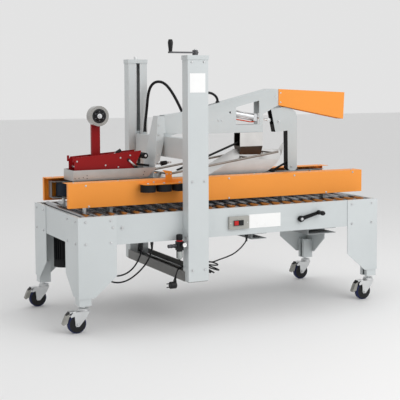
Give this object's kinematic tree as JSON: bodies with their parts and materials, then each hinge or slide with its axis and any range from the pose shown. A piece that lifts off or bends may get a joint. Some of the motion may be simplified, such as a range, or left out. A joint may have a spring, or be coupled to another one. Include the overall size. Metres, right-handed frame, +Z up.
{
  "type": "carton sealing machine",
  "caption": "Floor-standing carton sealing machine with side drive belts, a crank-raised taping head, a flap plough and an air-driven flap kicker over a roller table.",
  "frame": {"origin": "Centre of the object's outline seen from above, on the floor, without the power cord and its plug.", "axes": "X runs along the roller table against the cartons' travel, with +X at the infeed end. Y runs across the table, with -Y at the operator's side, where the switch and the cranks are. Z is up."},
  "size_m": [1.846, 0.868, 1.438],
  "materials": {
    "pale_paint": "semi-gloss powder coat",
    "orange_paint": "gloss powder coat",
    "dark_red_paint": "gloss enamel",
    "stainless": "brushed",
    "zinc_steel": "zinc plated",
    "chrome_steel": "polished",
    "motor_aluminium": "cast, painted silver grey",
    "black_rubber": "matt",
    "black_plastic": "matt",
    "tyre": "satin",
    "belt_rubber": "matt",
    "tape_film": "gloss",
    "hose_plastic": "satin",
    "roller_steel": "zinc plated"
  },
  "bodies": {
    "table": {"front_side_panel": "pale_paint", "rear_side_panel": "pale_paint", "end_panels": "pale_paint", "legs": "pale_paint", "table_rollers": "roller_steel", "cross_members": "zinc_steel", "guide_shafts": "chrome_steel", "lift_columns": "pale_paint", "column_caps": "pale_paint", "chain_tray": "pale_paint", "lift_chain": "zinc_steel", "switch_and_glands": "black_plastic", "filter_regulator": "black_plastic", "motor_cable_a": "hose_plastic", "motor_cable_b": "hose_plastic", "power_cord": "hose_plastic", "plug_cord": "hose_plastic", "cord_hank": "hose_plastic", "power_plug": "black_plastic"},
    "lift_crank": {"lift_crank": "zinc_steel"},
    "rear_lift_screw": {"rear_lift_screw": "zinc_steel"},
    "width_crank": {"width_crank": "zinc_steel"},
    "head": {"cross_beam": "pale_paint", "main_beam": "pale_paint", "wedge_guard": "orange_paint", "kicker_hanger": "pale_paint", "plough": "stainless", "plough_bracket": "stainless", "flap_rods": "stainless", "tape_channel": "stainless", "tape_hanger": "pale_paint", "tape_unit_plates": "dark_red_paint", "tape_rollers": "black_rubber", "reel_arm": "dark_red_paint", "control_hose": "hose_plastic", "air_hose": "hose_plastic"},
    "kicker": {"kicker_arm": "pale_paint"},
    "cylinder": {"kicker_cylinder": "motor_aluminium"},
    "rod": {"cylinder_rod": "chrome_steel"},
    "tape_reel": {"tape_roll": "tape_film"},
    "front_belt_unit": {"front_guard": "orange_paint", "front_belt_bed": "pale_paint", "front_drive_belt": "belt_rubber", "front_belt_drive": "motor_aluminium", "front_press_bracket": "orange_paint", "front_press_wheels": "black_rubber"},
    "rear_belt_unit": {"rear_guard": "orange_paint", "rear_belt_bed": "pale_paint", "rear_drive_belt": "belt_rubber", "rear_belt_drive": "motor_aluminium", "rear_press_bracket": "orange_paint", "rear_press_wheels": "black_rubber"},
    "front_left_caster": {"front_left_fork": "zinc_steel"},
    "front_left_wheel": {"front_left_wheel": "tyre"},
    "rear_left_caster": {"rear_left_fork": "zinc_steel"},
    "rear_left_wheel": {"rear_left_wheel": "tyre"},
    "front_right_caster": {"front_right_fork": "zinc_steel"},
    "front_right_wheel": {"front_right_wheel": "tyre"},
    "rear_right_caster": {"rear_right_fork": "zinc_steel"},
    "rear_right_wheel": {"rear_right_wheel": "tyre"}
  },
  "joints": [
    {"name": "lift_crank_turn", "type": "hinge", "parent": "table", "child": "lift_crank", "pos_m": [-0.2275, -0.3925, 1.356], "axis": [0, 0, 1], "range_deg": [-0.05, 12780.05]},
    {"name": "head_lift", "type": "slide", "parent": "table", "child": "head", "axis": [0, 0, 1], "range_m": [0, 0.355]},
    {"name": "rear_screw_turn", "type": "hinge", "parent": "table", "child": "rear_lift_screw", "pos_m": [-0.2275, 0.3925, 1.356], "axis": [0, 0, 1], "range_deg": [-0.05, 12780.05]},
    {"name": "width_crank_turn", "type": "hinge", "parent": "table", "child": "width_crank", "pos_m": [0.412, -0.36, 0.49], "axis": [0, -1, 0], "range_deg": [-1548.05, 1872.05]},
    {"name": "front_belt_slide", "type": "slide", "parent": "table", "child": "front_belt_unit", "axis": [0, -1, 0], "range_m": [-0.043, 0.052], "deforming": ["motor_cable_a", "motor_cable_b"]},
    {"name": "rear_belt_slide", "type": "slide", "parent": "table", "child": "rear_belt_unit", "axis": [0, 1, 0], "range_m": [-0.043, 0.052]},
    {"name": "kicker_swing", "type": "hinge", "parent": "head", "child": "kicker", "pos_m": [0.48, 0, 1.004], "axis": [0, -1, 0], "range_deg": [0, 85]},
    {"name": "cylinder_swing", "type": "hinge", "parent": "head", "child": "cylinder", "pos_m": [0.163, 0, 1.06], "axis": [0, 1, 0], "range_deg": [0, 9.39]},
    {"name": "rod_stroke", "type": "slide", "parent": "cylinder", "child": "rod", "axis": [0.9837, 0, -0.1795], "range_m": [0, 0.05604]},
    {"name": "tape_reel_turn", "type": "hinge", "parent": "head", "child": "tape_reel", "pos_m": [-0.614, -0.046, 1.053], "axis": [0, 1, 0], "continuous": true},
    {"name": "front_left_swivel", "type": "hinge", "parent": "table", "child": "front_left_caster", "pos_m": [-0.812, -0.329, 0.108], "axis": [0, 0, 1], "continuous": true},
    {"name": "front_left_roll", "type": "hinge", "parent": "front_left_caster", "child": "front_left_wheel", "pos_m": [-0.849, -0.329, 0.047], "axis": [0, 1, 0], "continuous": true},
    {"name": "rear_left_swivel", "type": "hinge", "parent": "table", "child": "rear_left_caster", "pos_m": [-0.812, 0.329, 0.108], "axis": [0, 0, 1], "continuous": true},
    {"name": "rear_left_roll", "type": "hinge", "parent": "rear_left_caster", "child": "rear_left_wheel", "pos_m": [-0.849, 0.329, 0.047], "axis": [0, 1, 0], "continuous": true},
    {"name": "front_right_swivel", "type": "hinge", "parent": "table", "child": "front_right_caster", "pos_m": [0.888, -0.329, 0.108], "axis": [0, 0, 1], "continuous": true},
    {"name": "front_right_roll", "type": "hinge", "parent": "front_right_caster", "child": "front_right_wheel", "pos_m": [0.851, -0.329, 0.047], "axis": [0, 1, 0], "continuous": true},
    {"name": "rear_right_swivel", "type": "hinge", "parent": "table", "child": "rear_right_caster", "pos_m": [0.888, 0.329, 0.108], "axis": [0, 0, 1], "continuous": true},
    {"name": "rear_right_roll", "type": "hinge", "parent": "rear_right_caster", "child": "rear_right_wheel", "pos_m": [0.851, 0.329, 0.047], "axis": [0, 1, 0], "continuous": true}
  ],
  "couplings": [
    {"joint": "lift_crank_turn", "follows": "head_lift", "rad_per_m": 628.32},
    {"joint": "rear_screw_turn", "follows": "head_lift", "rad_per_m": 628.32},
    {"joint": "width_crank_turn", "follows": "front_belt_slide", "rad_per_m": 628.32},
    {"joint": "rear_belt_slide", "follows": "front_belt_slide", "ratio": 1},
    {"joint": "cylinder_swing", "follows": "kicker_swing", "ratio": 0.11034},
    {"joint": "rod_stroke", "follows": "kicker_swing", "m_per_rad": 0.03771}
  ]
}
